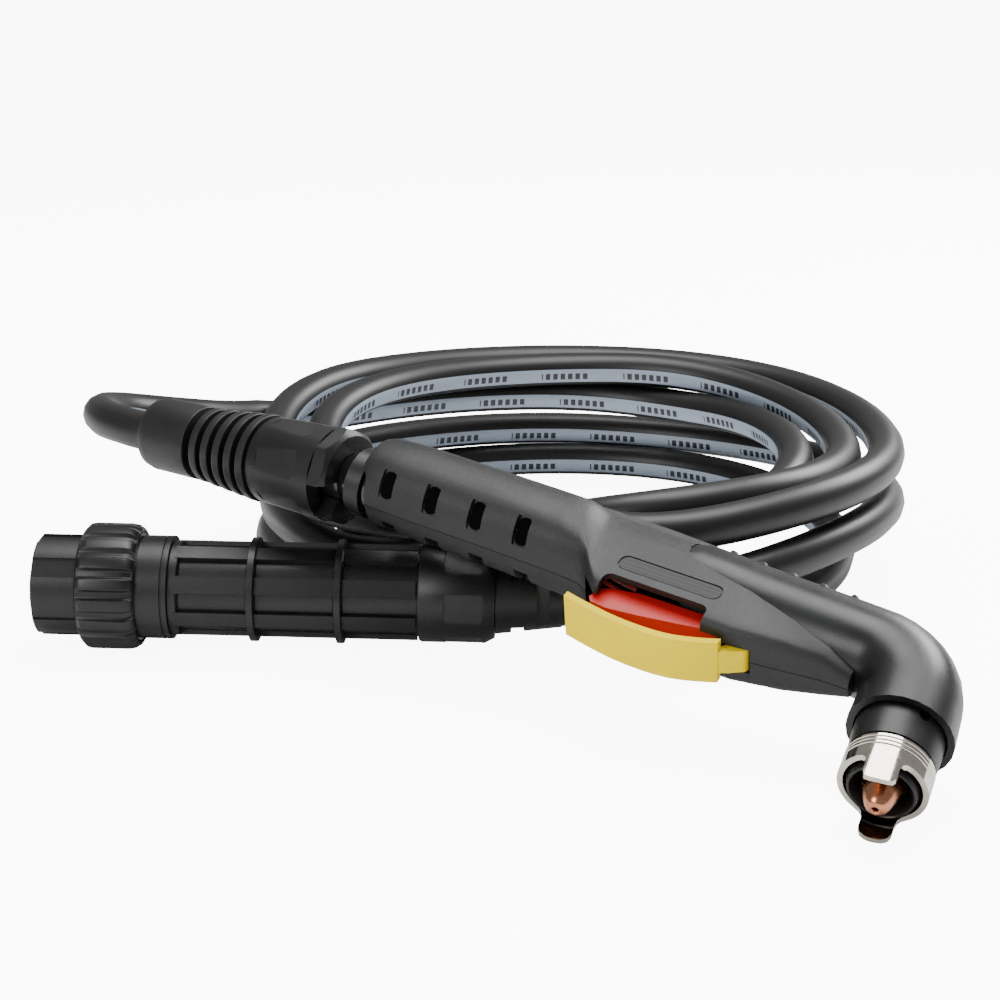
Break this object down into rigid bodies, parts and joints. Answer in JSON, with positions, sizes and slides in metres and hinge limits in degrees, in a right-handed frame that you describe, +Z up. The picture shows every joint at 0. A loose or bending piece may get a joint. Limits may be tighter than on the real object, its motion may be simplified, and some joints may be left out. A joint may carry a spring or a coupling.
{
  "type": "plasma cutting torch with lead and central connector",
  "caption": "Hand plasma cutting torch with trigger, safety lever, ball swivel, coiled lead and central connector with a screw-on nut.",
  "frame": {"origin": "on the floor, under the middle of the torch and its cable boot", "axes": "+Z up, +X to the right along the connector, +Y away from the viewer towards the coil"},
  "size_m": [0.3762, 0.4535, 0.091],
  "materials": {
    "grip_plastic": "fine moulded texture",
    "black_plastic": "satin",
    "gloss_black": "gloss",
    "steel": "zinc plated",
    "red_plastic": "satin",
    "yellow_plastic": "gloss",
    "brass": "turned",
    "rubber": "matt",
    "copper": "turned copper",
    "white_ceramic": "satin",
    "nickel": "polished",
    "wire": "satin"
  },
  "bodies": {
    "lead": {"swivel_ball": "gloss_black", "lock_ring": "black_plastic", "boot_barrel": "black_plastic", "cable_boot": "rubber", "crimp_ferrule": "brass", "lead_coil": "rubber", "torch_tail": "rubber", "connector_tail": "rubber", "connector_shell": "black_plastic", "nut_clip": "steel", "connector_grip": "black_plastic", "gland_nut": "black_plastic", "connector_boot": "rubber", "face_seal": "rubber", "contact_block": "white_ceramic", "power_pin": "brass", "control_pin_1": "brass", "control_pin_2": "brass", "control_pin_3": "brass", "control_pin_4": "brass", "control_pin_5": "brass", "lead_crimp": "brass"},
    "ball_seat": {"ball_seat": "black_plastic"},
    "torch": {"handle_shell_right": "grip_plastic", "handle_shell_left": "grip_plastic", "torch_head": "black_plastic", "retaining_cap": "black_plastic", "microswitch": "black_plastic", "handle_screw_1": "steel", "handle_screw_2": "steel", "handle_screw_3": "steel", "handle_screw_4": "steel", "trigger_pin": "steel", "trigger_spring": "steel", "safety_pin": "steel", "cathode_body": "brass", "head_o_ring": "rubber", "electrode": "copper", "nozzle": "copper", "gas_and_power_tube": "copper", "swirl_ring": "white_ceramic", "switch_wire_1": "wire", "switch_wire_2": "wire", "pilot_wire": "wire"},
    "trigger": {"trigger": "red_plastic", "switch_plunger": "red_plastic"},
    "safety_lever": {"safety_lever": "yellow_plastic"},
    "spacer": {"spacer_ring": "nickel"},
    "coupling_nut": {"coupling_nut": "black_plastic"}
  },
  "joints": [
    {"name": "torch_lift", "type": "hinge", "parent": "lead", "child": "ball_seat", "pos_m": [-0.0549, 0.053, 0.07133], "axis": [-0.5045, -0.8634, 0], "range_deg": [0, 20]},
    {"name": "torch_roll", "type": "hinge", "parent": "ball_seat", "child": "torch", "pos_m": [-0.0549, 0.053, 0.07133], "axis": [-0.8537, 0.4989, 0.1495], "range_deg": [0, 35]},
    {"name": "trigger_pull", "type": "hinge", "parent": "torch", "child": "trigger", "pos_m": [0.07118, -0.03912, 0.04182], "axis": [0.0558, 0.373, -0.9261], "range_deg": [0, 3.5], "stiffness_Nm_per_rad": 1, "springref_deg": -3.44, "deforming": ["trigger_spring"]},
    {"name": "lever_swing", "type": "hinge", "parent": "torch", "child": "safety_lever", "pos_m": [0.07961, -0.04784, 0.03881], "axis": [-0.0558, -0.373, 0.9261], "range_deg": [0, 32], "stiffness_Nm_per_rad": 0.05, "springref_deg": -34.38},
    {"name": "spacer_turn", "type": "hinge", "parent": "torch", "child": "spacer", "pos_m": [0.12006, -0.10165, 0.01957], "axis": [-0.3698, -0.8539, -0.3662], "continuous": true},
    {"name": "nut_turn", "type": "hinge", "parent": "lead", "child": "coupling_nut", "pos_m": [-0.15542, 0.06349, 0.02532], "axis": [0.9993, -0.0349, -0.0131], "continuous": true}
  ]
}
